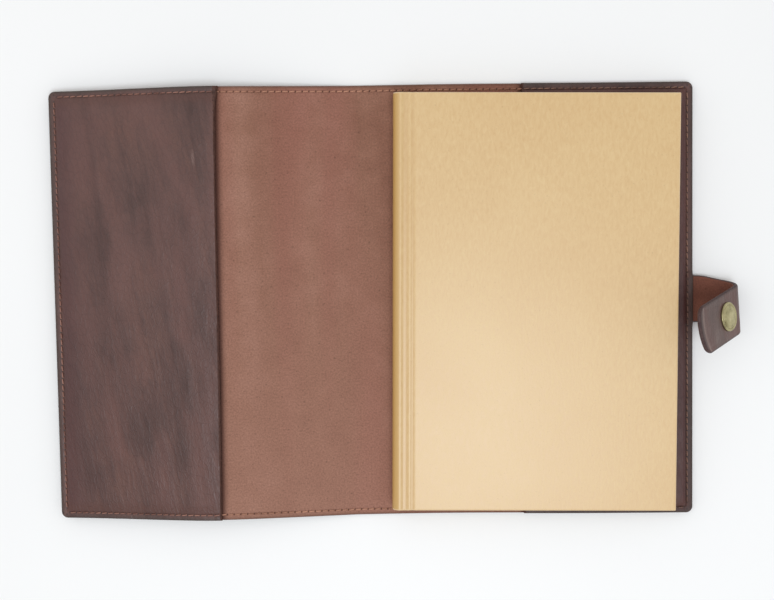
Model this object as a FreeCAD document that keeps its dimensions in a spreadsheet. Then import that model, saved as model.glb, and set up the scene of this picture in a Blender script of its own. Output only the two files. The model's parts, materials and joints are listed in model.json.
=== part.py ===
import FreeCAD, Part
import math
import os
import Sketcher

# A soft leather cover for a hard-bound notebook, lying open with its inside up.
# Frame: millimetres, +X towards the back cover's fore-edge, +Y towards the head, +Z up from the table.
# The origin is the centre of the spine strip's outer face. The cover is one sheet of leather: it is cut
# here along its fold lines into back, spine, front inner and front outer panels. The strap is one strip,
# cut along its two bending zones into tongue, web and tab.

SIZES = {
    # the cover
    "cover_height": 228.0,
    "panel_width": 160.3,
    "spine_width": 17.4,
    "leather": 2.0,
    "corner_radius": 3.5,
    "rise_angle": 7.2,
    "fall_angle": 4.2,
    # the two pockets
    "pocket_depth": 89.6,
    "pocket_leather": 1.5,
    "rim_width": 3.4,
    "wall_thickness": 0.7,
    "board_gap": 2.5,
    "empty_gap": 0.5,
    # the sewing
    "seam_inset": 3.0,
    "stitch_pitch": 3.5,
    "stitch_space": 0.7,
    "thread": 0.7,
    "thread_proud": 0.3,
    # the notebook
    "book_height": 216.4,
    "book_width": 147.8,
    "book_centre_x": 84.7,
    "book_centre_y": -0.6,
    "book_yaw": -0.7,
    "board": 2.2,
    "joint_width": 8.0,
    "joint_depth": 0.8,
    "case_cloth": 1.2,
    "flap_play": 0.1,
    "page_block": 8.4,
    "square": 3.0,
    "endpaper": 0.2,
    "signatures": 6.0,
    # the strap
    "strap_width": 24.8,
    "strap_leather": 2.2,
    "tongue_leather": 1.2,
    "tongue_inside": 8.5,
    "tongue_outside": 1.8,
    "root_overhang": 2.0,
    "root_gap": 2.4,
    "strap_yaw": -12.0,
    "strap_rise": 12.5,
    "fold_skew": -15.0,
    "fold_angle": 122.0,
    "fold_radius": 6.3,
    "fold_gap": 1.6,
    "web_length": 14.1,
    "strap_length": 64.6,
    "tip_radius": 4.0,
    # the snap fastener
    "snap_along": 38.5,
    "stud_inset": 11.5,
    "stud_y": -6.77,
    "post_radius": 1.5,
    "stud_base_radius": 4.6,
    "stud_neck_radius": 2.0,
    "stud_head_radius": 2.7,
    "stud_height": 3.0,
    "rivet_head_radius": 4.5,
    "rivet_head": 0.45,
    "cap_radius": 7.5,
    "cap_height": 1.4,
    "cap_post_radius": 2.3,
    "cap_post_proud": 0.4,
    "cap_rim_round": 0.6,
    "socket_radius": 5.7,
    "socket_height": 2.7,
    "socket_bore": 3.1,
    "spring_wire": 0.4,
    "spring_turn": 330.0,
}

doc = FreeCAD.newDocument("notebook_cover")
sheet = doc.addObject("Spreadsheet::Sheet", "Sizes")
for row, (alias, value) in enumerate(SIZES.items(), start=1):
    sheet.set(f"A{row}", alias)
    sheet.set(f"B{row}", str(value))
    sheet.setAlias(f"B{row}", alias)
doc.recompute()

X_AXIS = FreeCAD.Vector(1, 0, 0)
Y_AXIS = FreeCAD.Vector(0, 1, 0)
Z_AXIS = FreeCAD.Vector(0, 0, 1)
nodes = []

# Shares of a size, used where a turned or rounded piece takes its shape from one measure.
EDGE_ROUND = 0.9
BACK_ROUND = 0.45
FOLD_STEPS = 10

def size(alias):
    """The number in a cell of the sheet."""
    return float(sheet.get(alias))


def turn(axis, degrees):
    return FreeCAD.Rotation(axis, degrees)


# ---------------------------------------------------------------- frames of the moving pieces

def back_frame():
    """The back panel's frame: origin on its fold line, +X towards its fore-edge."""
    return FreeCAD.Placement(FreeCAD.Vector(size("spine_width") / 2, 0, 0), FreeCAD.Rotation())


def inner_frame():
    """The front inner panel's frame: origin on the fold line's upper edge, +X towards the fore-edge."""
    base = FreeCAD.Vector(-size("spine_width") / 2, 0, size("leather"))
    return FreeCAD.Placement(base, turn(Y_AXIS, size("rise_angle")) * turn(Z_AXIS, 180))


def inner_length():
    return size("panel_width") - size("pocket_depth")


def outer_frame():
    """The front outer panel's frame: origin on the flex line's lower edge, +X towards the fore-edge."""
    flex_line = inner_frame().multVec(FreeCAD.Vector(inner_length(), 0, -size("leather")))
    return FreeCAD.Placement(flex_line, turn(Y_AXIS, -size("fall_angle")) * turn(Z_AXIS, 180))


def book_frame():
    """The notebook's frame: under its middle, on the back panel's inner face, turned a little."""
    base = FreeCAD.Vector(size("book_centre_x"), size("book_centre_y"), size("leather"))
    return FreeCAD.Placement(base, turn(Z_AXIS, size("book_yaw")))


def strap_root():
    """The middle of the strap's thickness where it leaves the tongue."""
    fore_edge = size("spine_width") / 2 + size("panel_width")
    mid_height = size("leather") + size("strap_leather") / 2
    return FreeCAD.Vector(fore_edge + size("root_overhang"), 0, mid_height)


def strap_frame():
    """The strap's frame: +X across the fold's ruling, +Y along the ruling, +Z out of the flesh side."""
    lie = turn(Z_AXIS, size("strap_yaw")) * turn(Y_AXIS, -size("strap_rise"))
    return FreeCAD.Placement(strap_root(), lie * turn(Z_AXIS, -size("fold_skew")))


# ---------------------------------------------------------------- ways of making a piece

def new_body(label, placement):
    body = doc.addObject("PartDesign::Body", label)
    body.Label = label
    body.Placement = placement
    nodes.append(body)
    return body


def new_feature(label, shape, placement):
    feature = doc.addObject("Part::Feature", label)
    feature.Label = label
    feature.Shape = shape
    feature.Placement = placement
    nodes.append(feature)
    return feature


def new_sketch(body, name, role="XY_Plane", lift=None):
    """A sketch on one of the body's own origin planes, lifted along its normal by an expression."""
    sketch = body.newObject("Sketcher::SketchObject", f"{body.Label}_{name}")
    plane = next(item for item in body.Origin.OriginFeatures if item.Role == role)
    sketch.AttachmentSupport = [(plane, "")]
    sketch.MapMode = "FlatFace"
    if lift:
        sketch.setExpression("AttachmentOffset.Base.z", lift)
    return sketch


def add_rectangle(sketch, **edges):
    """A rectangle whose left, right, bottom and top edges are expressions measured from the origin."""
    corners = [FreeCAD.Vector(0, 0), FreeCAD.Vector(10, 0), FreeCAD.Vector(10, 10), FreeCAD.Vector(0, 10)]
    for start in range(4):
        sketch.addGeometry(Part.LineSegment(corners[start], corners[(start + 1) % 4]))
    for start in range(4):
        sketch.addConstraint(Sketcher.Constraint("Coincident", start, 2, (start + 1) % 4, 1))
        kind = "Horizontal" if start % 2 == 0 else "Vertical"
        sketch.addConstraint(Sketcher.Constraint(kind, start))
    for name, kind, point in (("left", "DistanceX", 0), ("right", "DistanceX", 2),
                              ("bottom", "DistanceY", 0), ("top", "DistanceY", 2)):
        index = sketch.addConstraint(Sketcher.Constraint(kind, -1, 1, point, 1, 5.0 if point else -5.0))
        sketch.renameConstraint(index, name)
        sketch.setExpression(f"Constraints.{name}", edges[name])


def add_circle(sketch, x, y, radius):
    """A circle whose centre and radius are expressions."""
    sketch.addGeometry(Part.Circle(FreeCAD.Vector(3, 3, 0), Z_AXIS, 2))
    for name, constraint, value in (
            ("centre_x", Sketcher.Constraint("DistanceX", -1, 1, 0, 3, 3), x),
            ("centre_y", Sketcher.Constraint("DistanceY", -1, 1, 0, 3, 3), y),
            ("radius", Sketcher.Constraint("Radius", 0, 2), radius)):
        index = sketch.addConstraint(constraint)
        sketch.renameConstraint(index, name)
        sketch.setExpression(f"Constraints.{name}", value)


def add_profile(sketch, points):
    """A closed outline of straight lines through points worked out from the sheet."""
    vectors = [FreeCAD.Vector(x, y, 0) for x, y in points]
    for start in range(len(vectors)):
        end = (start + 1) % len(vectors)
        sketch.addGeometry(Part.LineSegment(vectors[start], vectors[end]))
    for start in range(len(vectors)):
        end = (start + 1) % len(vectors)
        sketch.addConstraint(Sketcher.Constraint("Coincident", start, 2, end, 1))
    for line in range(len(vectors)):
        sketch.addConstraint(Sketcher.Constraint("Block", line))


def pad(body, sketch, length):
    feature = body.newObject("PartDesign::Pad", f"{sketch.Label}_pad")
    feature.Profile = sketch
    feature.setExpression("Length", length)
    doc.recompute()
    return feature


def pocket(body, sketch, length):
    """A cut that goes up from its sketch; it has to take something away."""
    before = body.Shape.Volume
    feature = body.newObject("PartDesign::Pocket", f"{sketch.Label}_cut")
    feature.Profile = sketch
    feature.Reversed = True
    feature.setExpression("Length", length)
    doc.recompute()
    if body.Shape.Volume > before - 1e-3:
        raise RuntimeError(f"{feature.Label} cuts nothing")
    return feature


def revolve(body, sketch):
    feature = body.newObject("PartDesign::Revolution", f"{sketch.Label}_turn")
    feature.Profile = sketch
    feature.ReferenceAxis = (sketch, ["V_Axis"])
    feature.Angle = 360
    doc.recompute()
    return feature


def fillet_edges(body, feature, radius, chosen):
    """Rounds the edges of a feature that a test picks out."""
    names = [f"Edge{i}" for i, edge in enumerate(feature.Shape.Edges, start=1) if chosen(edge)]
    rounded = body.newObject("PartDesign::Fillet", f"{feature.Label}_round")
    rounded.Base = (feature, names)
    rounded.setExpression("Radius", radius)
    doc.recompute()
    return rounded


def is_upright_at(edge, x):
    """True for a vertical edge at the given distance from the fold."""
    middle = edge.BoundBox.Center
    return edge.BoundBox.ZLength > 0.1 and edge.BoundBox.XLength < 1e-6 and abs(middle.x - x) < 1e-6


HALF_HEIGHT = "Sizes.cover_height / 2"


# ---------------------------------------------------------------- the cover's panels

def make_panel(label, placement, length, lift, rounded):
    """A flat panel of the outer leather, from a fold line (x = 0) to x = length."""
    body = new_body(label, placement)
    sketch = new_sketch(body, "outline", lift=lift)
    add_rectangle(sketch, left="0", right=length, bottom=f"-{HALF_HEIGHT}", top=HALF_HEIGHT)
    slab = pad(body, sketch, "Sizes.leather")
    if rounded:
        far = slab.Shape.BoundBox.XMax
        fillet_edges(body, slab, "Sizes.corner_radius", lambda edge: is_upright_at(edge, far))
    return body


def make_spine_panel():
    corner = FreeCAD.Placement(FreeCAD.Vector(-size("spine_width") / 2, 0, 0), FreeCAD.Rotation())
    make_panel("spine_panel", corner, "Sizes.spine_width", "0", False)


def make_front_outer_panel():
    body = make_panel("front_outer_panel", outer_frame(), "Sizes.pocket_depth", "0", True)
    hole = new_sketch(body, "rivet_hole")
    add_circle(hole, "Sizes.pocket_depth - Sizes.stud_inset", "-Sizes.stud_y", "Sizes.post_radius")
    pocket(body, hole, "Sizes.leather")


# ---------------------------------------------------------------- the sewn pockets

def make_pocket(label, placement, gap, for_strap):
    """A pocket flap: a flat sewn rim on three sides and a raised middle that is open at x = 0."""
    body = new_body(label, placement)
    rim = new_sketch(body, "rim")
    add_rectangle(rim, left="0", right="Sizes.pocket_depth", bottom=f"-{HALF_HEIGHT}", top=HALF_HEIGHT)
    rim_pad = pad(body, rim, "Sizes.pocket_leather")
    far = rim_pad.Shape.BoundBox.XMax
    fillet_edges(body, rim_pad, "Sizes.corner_radius", lambda edge: is_upright_at(edge, far))

    raised = new_sketch(body, "raised")
    add_rectangle(raised, left="0", right="Sizes.pocket_depth - Sizes.rim_width",
                  bottom=f"-{HALF_HEIGHT} + Sizes.rim_width", top=f"{HALF_HEIGHT} - Sizes.rim_width")
    pad(body, raised, f"Sizes.pocket_leather + Sizes.{gap}")
    if for_strap:
        bump = new_sketch(body, "strap_bump")
        reach = "Sizes.strap_width / 2 + Sizes.wall_thickness"
        add_rectangle(bump, left="Sizes.pocket_depth / 2", right="Sizes.pocket_depth",
                      bottom=f"-({reach})", top=reach)
        pad(body, bump, "Sizes.pocket_leather + Sizes.tongue_leather")

    inside = new_sketch(body, "inside")
    hem = "(Sizes.rim_width + Sizes.wall_thickness)"
    add_rectangle(inside, left="0", right=f"Sizes.pocket_depth - {hem}",
                  bottom=f"-{HALF_HEIGHT} + {hem}", top=f"{HALF_HEIGHT} - {hem}")
    pocket(body, inside, f"Sizes.{gap}")
    if for_strap:
        slot = new_sketch(body, "strap_slot")
        reach = "Sizes.strap_width / 2"
        add_rectangle(slot, left="Sizes.pocket_depth / 2", right="Sizes.pocket_depth",
                      bottom=f"-({reach})", top=reach)
        pocket(body, slot, "Sizes.tongue_leather")
    return body


def on_top_of(placement, height):
    """The same frame, moved up along its own Z."""
    return placement.multiply(FreeCAD.Placement(FreeCAD.Vector(0, 0, height), FreeCAD.Rotation()))


def back_pocket_frame():
    start = size("panel_width") - size("pocket_depth")
    shift = FreeCAD.Placement(FreeCAD.Vector(start, 0, size("leather")), FreeCAD.Rotation())
    return back_frame().multiply(shift)


# ---------------------------------------------------------------- the sewing

def stitch(centre_x, centre_y, along_x, length, height):
    """One loop of thread through two neighbouring holes, standing on z = 0 and seen on the top side."""
    thread = size("thread")
    outer = Part.makeBox(length, thread, height, FreeCAD.Vector(-length / 2, -thread / 2, 0))
    hollow = Part.makeBox(length - 2 * thread, thread, height - 2 * thread,
                          FreeCAD.Vector(-length / 2 + thread, -thread / 2, thread))
    loop = outer.cut(hollow)
    if not along_x:
        loop.rotate(FreeCAD.Vector(0, 0, 0), Z_AXIS, 90)
    loop.translate(FreeCAD.Vector(centre_x, centre_y, 0))
    return loop


def stitch_row(start, end, across, along_x, stack):
    """Evenly spaced loops on a straight seam; stack is the thickness of leather sewn through."""
    count = max(1, round((end - start) / size("stitch_pitch")))
    pitch = (end - start) / count
    length = pitch - size("stitch_space")
    height = stack + size("thread_proud")
    loops = []
    for i in range(count):
        middle = start + (i + 0.5) * pitch
        x, y = (middle, across) if along_x else (across, middle)
        loops.append(stitch(x, y, along_x, length, height))
    return loops


def head_and_tail_rows(start, end, stack):
    """The two seams along the head and the tail of a panel."""
    across = size("cover_height") / 2 - size("seam_inset")
    return (stitch_row(start, end, across, True, stack)
            + stitch_row(start, end, -across, True, stack))


def pocket_seam(stack, gap_half_width):
    """The seam round three sides of a pocket; the fore-edge row may skip the strap."""
    far = size("pocket_depth") - size("seam_inset")
    reach = size("cover_height") / 2 - size("seam_inset")
    turn_room = size("stitch_pitch") / 2
    loops = head_and_tail_rows(size("stitch_space"), far - turn_room / 2, stack)
    if gap_half_width:
        loops += stitch_row(-reach + turn_room, -gap_half_width, far, False, stack)
        loops += stitch_row(gap_half_width, reach - turn_room, far, False, stack)
    else:
        loops += stitch_row(-reach + turn_room, reach - turn_room, far, False, stack)
    return Part.makeCompound(loops)


def make_stitching():
    sewn_two = size("leather") + size("pocket_leather")
    sewn_three = sewn_two + size("tongue_leather")
    pocket_start = size("panel_width") - size("pocket_depth")
    strap_half = size("strap_width") / 2 + size("wall_thickness") + size("stitch_space")
    back_pocket = on_top_of(back_pocket_frame(), -size("leather"))
    new_feature("back_pocket_stitching", pocket_seam(sewn_two, strap_half), back_pocket)

    tack = stitch_row(-size("strap_width") / 2 + 1, size("strap_width") / 2 - 1,
                      size("pocket_depth") - size("seam_inset"), False, sewn_three)
    new_feature("strap_tack_stitching", Part.makeCompound(tack), back_pocket)

    space = size("stitch_space")
    back_rows = head_and_tail_rows(space, pocket_start - space, size("leather"))
    new_feature("back_panel_stitching", Part.makeCompound(back_rows), back_frame())

    half_spine = size("spine_width") / 2
    spine_rows = head_and_tail_rows(-half_spine + space, half_spine - space, size("leather"))
    new_feature("spine_stitching", Part.makeCompound(spine_rows), FreeCAD.Placement())

    inner_rows = head_and_tail_rows(space, inner_length() - space, size("leather"))
    inner_bottom = on_top_of(inner_frame(), -size("leather"))
    new_feature("front_inner_stitching", Part.makeCompound(inner_rows), inner_bottom)
    new_feature("front_pocket_stitching", pocket_seam(sewn_two, 0), outer_frame())


# ---------------------------------------------------------------- the notebook

def book_levels():
    """Heights above the back panel's inner face: page block's bottom and top, and the case's top."""
    flap = size("board_gap") - size("board") + size("pocket_leather")
    block_bottom = size("board") + flap + size("flap_play")
    block_top = block_bottom + size("page_block")
    return block_bottom, block_top, block_top + size("board")


def make_board(label, lift):
    """A bare board of the case, from its joint groove to its fore-edge."""
    body = new_body(label, book_frame())
    sketch = new_sketch(body, "outline", lift=lift)
    add_rectangle(sketch, left="-Sizes.book_width / 2 + Sizes.joint_width", right="Sizes.book_width / 2",
                  bottom="-Sizes.book_height / 2", top="Sizes.book_height / 2")
    slab = pad(body, sketch, "Sizes.board")
    far = slab.Shape.BoundBox.XMax
    fillet_edges(body, slab, "Sizes.board / 2", lambda edge: is_upright_at(edge, far))
    return body


def make_notebook_spine():
    """The case's spine: a channel with rounded edges, whose two lips are the sunk joint grooves."""
    top = book_levels()[2]
    outer_x = -size("book_width") / 2
    lip_x = outer_x + size("joint_width")
    cloth = size("case_cloth")
    groove = size("joint_depth")
    body = new_body("notebook_spine", book_frame())
    sketch = new_sketch(body, "section", role="XZ_Plane", lift="-Sizes.book_height / 2")
    add_profile(sketch, [
        (outer_x, 0), (lip_x, 0), (lip_x, cloth), (outer_x + cloth, cloth),
        (outer_x + cloth, top - groove - cloth), (lip_x, top - groove - cloth),
        (lip_x, top - groove), (outer_x + size("joint_width") / 2, top - groove),
        (outer_x + size("joint_width") / 2, top), (outer_x, top)])
    channel = pad(body, sketch, "Sizes.book_height")

    def on_the_back(edge):
        box = edge.BoundBox
        return box.YLength > 100 and abs(box.XMin - outer_x) < 1e-6

    fillet_edges(body, channel, f"Sizes.case_cloth * {EDGE_ROUND}", on_the_back)


def make_pages():
    """The folded sections of the page block, each with a rounded back edge, in one group."""
    bottom, top, _ = book_levels()
    count = int(size("signatures"))
    first = bottom + size("endpaper")
    thick = (top - bottom - 2 * size("endpaper")) / count
    left = -size("book_width") / 2 + size("case_cloth") + size("flap_play")
    long_side = size("book_width") - size("case_cloth") - size("flap_play") - size("square")
    tall_side = size("book_height") - 2 * size("square")
    sections = []
    for i in range(count):
        corner = FreeCAD.Vector(left, -tall_side / 2, first + i * thick)
        section = Part.makeBox(long_side, tall_side, thick, corner)
        back = [edge for edge in section.Edges
                if edge.BoundBox.YLength > 100 and abs(edge.BoundBox.XMin - left) < 1e-6]
        sections.append(section.makeFillet(thick * BACK_ROUND, back))
    new_feature("notebook_signatures", Part.makeCompound(sections), book_frame())


def make_endpaper(label, height):
    """One leaf pasted between the page block and a board, as a box bound to the sheet."""
    leaf = doc.addObject("Part::Box", label)
    leaf.Label = label
    leaf.setExpression("Length", "Sizes.book_width - Sizes.joint_width - Sizes.square")
    leaf.setExpression("Width", "Sizes.book_height - 2 * Sizes.square")
    leaf.setExpression("Height", "Sizes.endpaper")
    corner = FreeCAD.Vector(-size("book_width") / 2 + size("joint_width"),
                            -size("book_height") / 2 + size("square"), height)
    leaf.Placement = book_frame().multiply(FreeCAD.Placement(corner, FreeCAD.Rotation()))
    nodes.append(leaf)


def make_notebook():
    bottom, top, _ = book_levels()
    make_board("notebook_back_board", "0")
    front = "Sizes.board_gap + Sizes.pocket_leather + Sizes.flap_play + Sizes.page_block"
    make_board("notebook_front_board", f"({front})")
    make_notebook_spine()
    make_pages()
    make_endpaper("notebook_back_endpaper", bottom)
    make_endpaper("notebook_front_endpaper", top - size("endpaper"))


# ---------------------------------------------------------------- the strap

def flat_to_fold(along, across):
    """A point of the flat strap, in the strap frame, whose X and Y run across and along the ruling."""
    skew = math.radians(size("fold_skew"))
    return (along * math.cos(skew) - across * math.sin(skew),
            along * math.sin(skew) + across * math.cos(skew))


def fold_start():
    return flat_to_fold(size("web_length"), 0)[0]


def along_at(u, across):
    """How far along the flat strap an edge point with strap-frame X of u lies."""
    skew = math.radians(size("fold_skew"))
    return (u + across * math.sin(skew)) / math.cos(skew)


def make_strap_tongue():
    """The thinned end of the strap, sewn between the back panel and its pocket flap."""
    tongue = doc.addObject("Part::Box", "strap_tongue")
    tongue.Label = "strap_tongue"
    tongue.setExpression("Length", "Sizes.tongue_inside + Sizes.tongue_outside")
    tongue.setExpression("Width", "Sizes.strap_width")
    tongue.setExpression("Height", "Sizes.tongue_leather")
    fore_edge = size("spine_width") / 2 + size("panel_width")
    corner = FreeCAD.Vector(fore_edge - size("tongue_inside"), -size("strap_width") / 2, size("leather"))
    tongue.Placement = FreeCAD.Placement(corner, FreeCAD.Rotation())
    nodes.append(tongue)


def make_strap_web():
    """The flat stretch from the fore-edge to the fold; its root edge is parallel to the fore-edge."""
    yaw = math.radians(size("strap_yaw"))
    rise = math.radians(size("strap_rise"))
    half = size("strap_width") / 2
    end_u = fold_start() - size("fold_gap")

    def root_along(across):
        return (size("root_gap") + across * math.sin(yaw)) / (math.cos(rise) * math.cos(yaw))

    corners = [flat_to_fold(root_along(half), half), flat_to_fold(root_along(-half), -half),
               flat_to_fold(along_at(end_u, -half), -half), flat_to_fold(along_at(end_u, half), half)]
    body = new_body("strap_web", strap_frame())
    sketch = new_sketch(body, "outline", lift="-Sizes.strap_leather / 2")
    add_profile(sketch, corners)
    pad(body, sketch, "Sizes.strap_leather")


def fold_section(arc_length):
    """The strap's cross-section along the ruling, at a distance round the fold from its start."""
    half = size("strap_width") / 2
    u = fold_start() + arc_length
    low = flat_to_fold(along_at(u, -half), -half)[1]
    high = flat_to_fold(along_at(u, half), half)[1]
    angle = arc_length / size("fold_radius")
    points = []
    for v, lift in ((low, -1), (high, -1), (high, 1), (low, 1)):
        radius = size("fold_radius") - lift * size("strap_leather") / 2
        points.append(FreeCAD.Vector(fold_start() + radius * math.sin(angle), v,
                                     size("fold_radius") - radius * math.cos(angle)))
    return Part.makePolygon(points + points[:1])


def tab_frame():
    """The straight tab's plane: the strap frame carried round the whole fold."""
    centre = FreeCAD.Vector(fold_start(), 0, size("fold_radius"))
    return FreeCAD.Placement(FreeCAD.Vector(), turn(Y_AXIS, -size("fold_angle")), centre)


def snap_frame(side):
    """Where the snap's axis pierces the tab: side 1 is the flesh face, -1 the grain face."""
    u, v = flat_to_fold(size("snap_along"), 0)
    straight = u - size("fold_radius") * math.radians(size("fold_angle"))
    point = FreeCAD.Placement(FreeCAD.Vector(straight, v, side * size("strap_leather") / 2),
                              FreeCAD.Rotation())
    return strap_frame().multiply(tab_frame()).multiply(point)


def make_strap_tab():
    """The fold and the straight pull tab with its rounded tip and the hole for the snap's post."""
    whole_arc = size("fold_radius") * math.radians(size("fold_angle"))
    first = size("fold_gap")
    step = (whole_arc - first) / FOLD_STEPS
    sections = [fold_section(first + step * i) for i in range(FOLD_STEPS + 1)]
    fold = Part.makeLoft(sections, True, False)

    half = size("strap_width") / 2
    end_u = fold_start() + whole_arc
    tip = size("strap_length")
    outline = [(along_at(end_u, -half), -half), (tip, -half), (tip, half), (along_at(end_u, half), half)]
    points = []
    for along, across in outline:
        u, v = flat_to_fold(along, across)
        points.append(FreeCAD.Vector(u - whole_arc, v, -size("strap_leather") / 2))
    plate = Part.Face(Part.makePolygon(points + points[:1])).extrude(Z_AXIS * size("strap_leather"))
    tip_points = points[1:3]
    tip_edges = [edge for edge in plate.Edges if edge.BoundBox.ZLength > 1
                 and min((edge.BoundBox.Center - p).Length for p in tip_points) < size("strap_leather")]
    plate = plate.makeFillet(size("tip_radius"), tip_edges)
    u, v = flat_to_fold(size("snap_along"), 0)
    hole = Part.makeCylinder(size("cap_post_radius"), size("strap_leather"),
                             FreeCAD.Vector(u - whole_arc, v, -size("strap_leather") / 2))
    plate = plate.cut(hole)
    plate.transformShape(tab_frame().toMatrix())
    new_feature("strap_tab", fold.fuse(plate).removeSplitter(), strap_frame())


# ---------------------------------------------------------------- the snap fastener

def turned_piece(label, placement, half_section):
    """A round piece: its half section of (radius, height) points turned about Z."""
    body = new_body(label, placement)
    sketch = new_sketch(body, "half_section", role="XZ_Plane")
    add_profile(sketch, half_section)
    revolve(body, sketch)
    return body


def make_stud():
    """The stud on the front cover's outer face, and the rivet that holds it from inside the pocket."""
    place = FreeCAD.Vector(size("pocket_depth") - size("stud_inset"), -size("stud_y"), 0)
    outward = FreeCAD.Placement(place, turn(X_AXIS, 180))
    top = size("stud_height")
    base = size("stud_base_radius")
    neck = size("stud_neck_radius")
    head = size("stud_head_radius")
    post = size("post_radius")
    base_top = 0.25 * top
    neck_top = 0.5 * top
    post_top = 0.6 * top
    head_top = 0.8 * top
    turned_piece("snap_stud", outer_frame().multiply(outward), [
        (post, 0), (base, 0), (base, base_top), (neck, 1.2 * base_top), (neck, neck_top),
        (head, 1.3 * neck_top), (head, head_top), (0.75 * head, top), (0, top),
        (0, post_top), (post, post_top)])
    leather = size("leather")
    rivet = size("rivet_head_radius")
    turned_piece("snap_stud_rivet", outer_frame().multiply(outward), [
        (0, -leather - size("rivet_head")), (rivet, -leather - size("rivet_head")), (rivet, -leather),
        (post, -leather), (post, post_top), (0, post_top)])


def make_cap_and_socket():
    """The cap on the tab's grain face with its post through the leather, and the socket behind."""
    cap = size("cap_radius")
    rise = size("cap_height")
    post = size("cap_post_radius")
    post_end = -size("strap_leather") - size("cap_post_proud")
    shoulder = cap - size("cap_rim_round")
    grain = snap_frame(-1).multiply(FreeCAD.Placement(FreeCAD.Vector(), turn(X_AXIS, 180)))
    turned_piece("snap_cap", grain, [
        (0, post_end), (post, post_end), (post, 0), (shoulder, 0), (cap, 0.35 * rise),
        (0.93 * cap, 0.75 * rise), (0.6 * cap, 0.95 * rise), (0, rise)])
    tall = size("socket_height")
    bore = size("socket_bore")
    wall = size("socket_radius")
    groove = bore + 1.1 * size("spring_wire")
    floor = size("cap_post_proud")
    groove_low = 0.42 * tall
    groove_high = 0.8 * tall
    turned_piece("snap_socket", snap_frame(1), [
        (post, 0), (wall, 0), (wall, 0.25 * tall), (0.86 * wall, 0.9 * tall), (0.8 * wall, tall),
        (bore, tall), (bore, groove_high), (groove, groove_high), (groove, groove_low),
        (bore, groove_low), (bore, floor), (post, floor)])
    make_spring(bore, (groove_low + groove_high) / 2)


def make_spring(bore, height):
    """The open ring of wire that grips the stud, lying in the socket's groove."""
    wire = size("spring_wire")
    ring = doc.addObject("Part::Torus", "snap_spring")
    ring.Label = "snap_spring"
    ring.Radius1 = bore + 0.5 * wire
    ring.setExpression("Radius2", "Sizes.spring_wire / 2")
    ring.Angle3 = size("spring_turn")
    lift = FreeCAD.Placement(FreeCAD.Vector(0, 0, height), FreeCAD.Rotation())
    ring.Placement = snap_frame(1).multiply(lift)
    nodes.append(ring)


# ---------------------------------------------------------------- making and writing everything

make_panel("back_panel", back_frame(), "Sizes.panel_width", "0", True)
make_pocket("back_pocket", back_pocket_frame(), "board_gap", True)
make_spine_panel()
make_panel("front_inner_panel", inner_frame(), "(Sizes.panel_width - Sizes.pocket_depth)",
           "-Sizes.leather", False)
make_front_outer_panel()
make_pocket("front_pocket", on_top_of(outer_frame(), size("leather")), "empty_gap", False)
make_stitching()
make_notebook()
make_strap_tongue()
make_strap_web()
make_strap_tab()
make_stud()
make_cap_and_socket()
doc.recompute()

for item in doc.Objects:
    if "Invalid" in item.State or "Error" in item.State:
        raise RuntimeError(f"{item.Label} failed: {item.State}")
for node in nodes:
    if node.Shape.isNull() or not node.Shape.isValid():
        raise RuntimeError(f"{node.Label} has no valid shape")

os.makedirs("parts", exist_ok=True)
for node in nodes:
    node.Shape.exportStep(f"parts/{node.Label}.step")
    box = node.Shape.BoundBox
    spans = [(box.XMin, box.XMax), (box.YMin, box.YMax), (box.ZMin, box.ZMax)]
    reach = "  ".join(f"{low:8.2f} {high:8.2f}" for low, high in spans)
    print(f"{node.Label:26s} solids {len(node.Shape.Solids):3d}  volume {node.Shape.Volume:9.1f}  {reach}")
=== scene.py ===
import json
import math

import bpy
import bmesh
import numpy as np
from mathutils import Matrix, Vector, noise


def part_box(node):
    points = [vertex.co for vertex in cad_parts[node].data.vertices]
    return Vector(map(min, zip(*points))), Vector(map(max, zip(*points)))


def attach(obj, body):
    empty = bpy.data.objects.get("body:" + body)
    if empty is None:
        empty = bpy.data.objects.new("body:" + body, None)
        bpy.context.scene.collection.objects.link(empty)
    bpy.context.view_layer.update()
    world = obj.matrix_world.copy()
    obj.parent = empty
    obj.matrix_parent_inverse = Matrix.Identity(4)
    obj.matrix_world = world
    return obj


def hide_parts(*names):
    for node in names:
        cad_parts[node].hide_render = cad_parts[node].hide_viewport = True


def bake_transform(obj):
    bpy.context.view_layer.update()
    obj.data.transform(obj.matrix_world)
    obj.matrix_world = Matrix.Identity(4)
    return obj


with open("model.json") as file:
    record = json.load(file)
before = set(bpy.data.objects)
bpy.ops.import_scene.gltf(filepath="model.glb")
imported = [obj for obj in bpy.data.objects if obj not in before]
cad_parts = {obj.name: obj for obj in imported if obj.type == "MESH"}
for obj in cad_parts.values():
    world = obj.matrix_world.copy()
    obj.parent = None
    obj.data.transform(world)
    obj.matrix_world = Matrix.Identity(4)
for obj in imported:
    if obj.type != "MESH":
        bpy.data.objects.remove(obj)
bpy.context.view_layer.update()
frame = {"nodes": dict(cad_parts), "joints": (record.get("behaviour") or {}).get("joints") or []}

MM = 0.001
# How far in from a leather edge its grid has lines.
EDGE_LINES = [0, 0.07, 0.2, 0.38, 0.6, 0.9, 1.3, 1.75, 2.2, 2.6, 3.0, 3.4, 3.8, 4.3, 5.0, 5.9, 7.0, 8.6]

# ---- sizes, from the frame where it has them

def mm_box(node):
    """The low and high corner of a node's box, in millimetres."""
    low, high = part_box(node)
    return [c / MM for c in low], [c / MM for c in high]


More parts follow.
